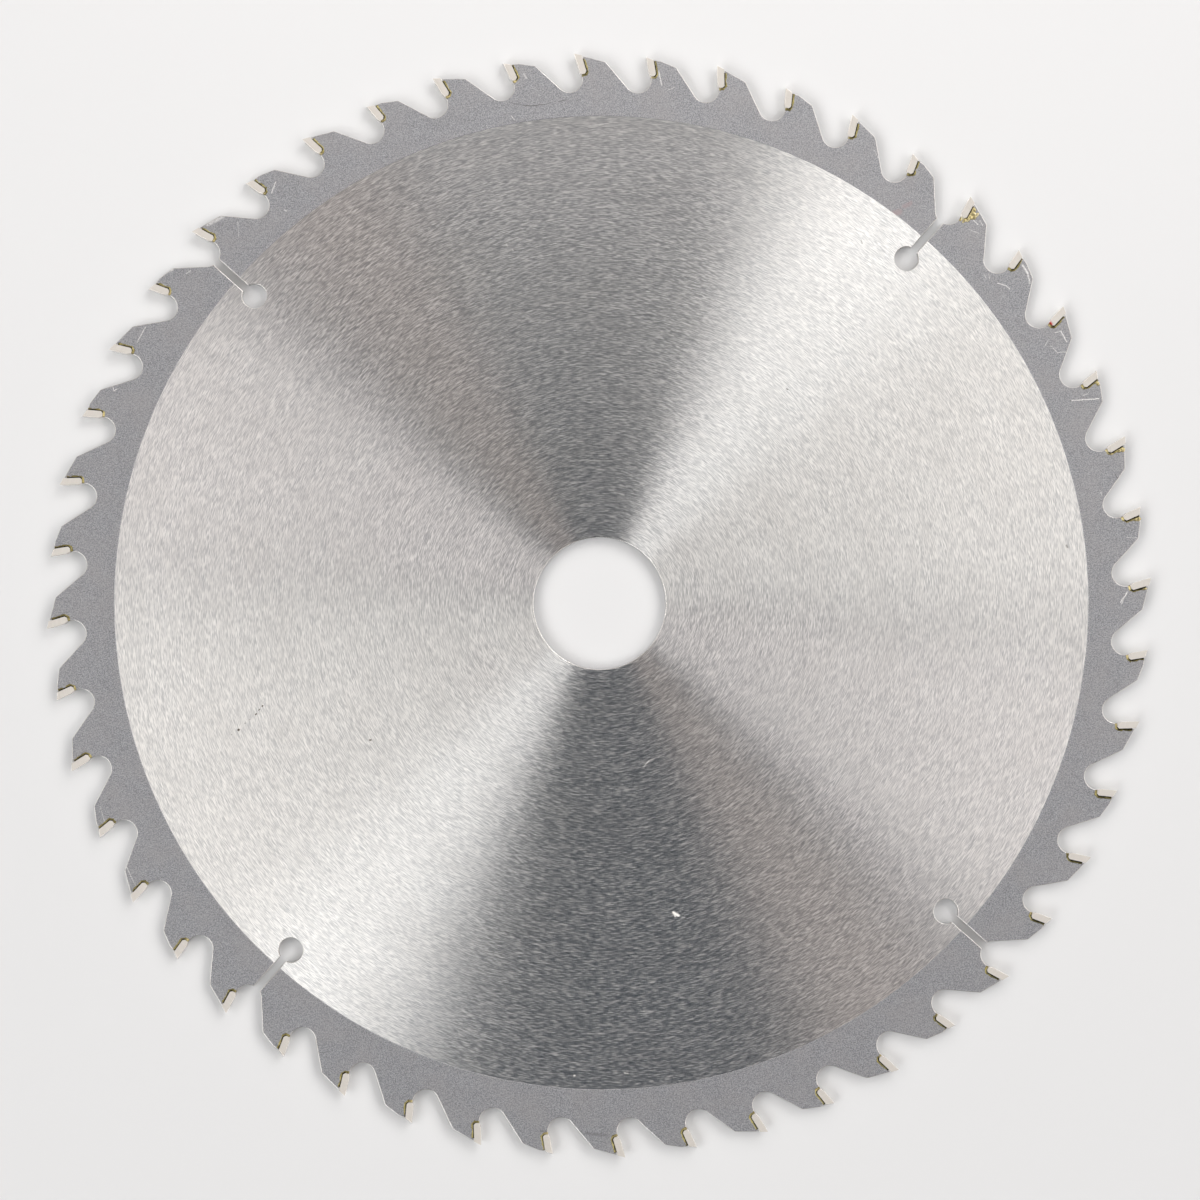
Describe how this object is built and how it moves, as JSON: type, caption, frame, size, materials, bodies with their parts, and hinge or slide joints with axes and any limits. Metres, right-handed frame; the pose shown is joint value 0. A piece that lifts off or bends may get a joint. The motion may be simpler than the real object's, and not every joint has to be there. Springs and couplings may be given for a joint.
{
  "type": "circular saw blade",
  "caption": "Flat round steel saw blade with brazed carbide tips ground to an alternate bevel, round gullets, expansion slots in the rim and a plain arbor bore.",
  "frame": {"origin": "centre of the bore, midway through the plate's thickness", "axes": "+Z along the bore's axis, out of the face that the picture shows; +X through the first tip's cutting edge; +Y a quarter turn on in the cutting direction"},
  "size_m": [0.25, 0.25, 0.0032],
  "materials": {
    "plate_steel": "circular ground middle, matt blasted rim",
    "carbide": "finely ground cemented carbide",
    "braze_metal": "dull olive to gold braze"
  },
  "bodies": {
    "root": {"saw_plate": "plate_steel", "braze": "braze_metal", "tip_01": "carbide", "tip_02": "carbide", "tip_03": "carbide", "tip_04": "carbide", "tip_05": "carbide", "tip_06": "carbide", "tip_07": "carbide", "tip_08": "carbide", "tip_09": "carbide", "tip_10": "carbide", "tip_11": "carbide", "tip_12": "carbide", "tip_13": "carbide", "tip_14": "carbide", "tip_15": "carbide", "tip_16": "carbide", "tip_17": "carbide", "tip_18": "carbide", "tip_19": "carbide", "tip_20": "carbide", "tip_21": "carbide", "tip_22": "carbide", "tip_23": "carbide", "tip_24": "carbide", "tip_25": "carbide", "tip_26": "carbide", "tip_27": "carbide", "tip_28": "carbide", "tip_29": "carbide", "tip_30": "carbide", "tip_31": "carbide", "tip_32": "carbide", "tip_33": "carbide", "tip_34": "carbide", "tip_35": "carbide", "tip_36": "carbide", "tip_37": "carbide", "tip_38": "carbide", "tip_39": "carbide", "tip_40": "carbide", "tip_41": "carbide", "tip_42": "carbide", "tip_43": "carbide", "tip_44": "carbide", "tip_45": "carbide", "tip_46": "carbide", "tip_47": "carbide", "tip_48": "carbide"}
  },
  "joints": []
}
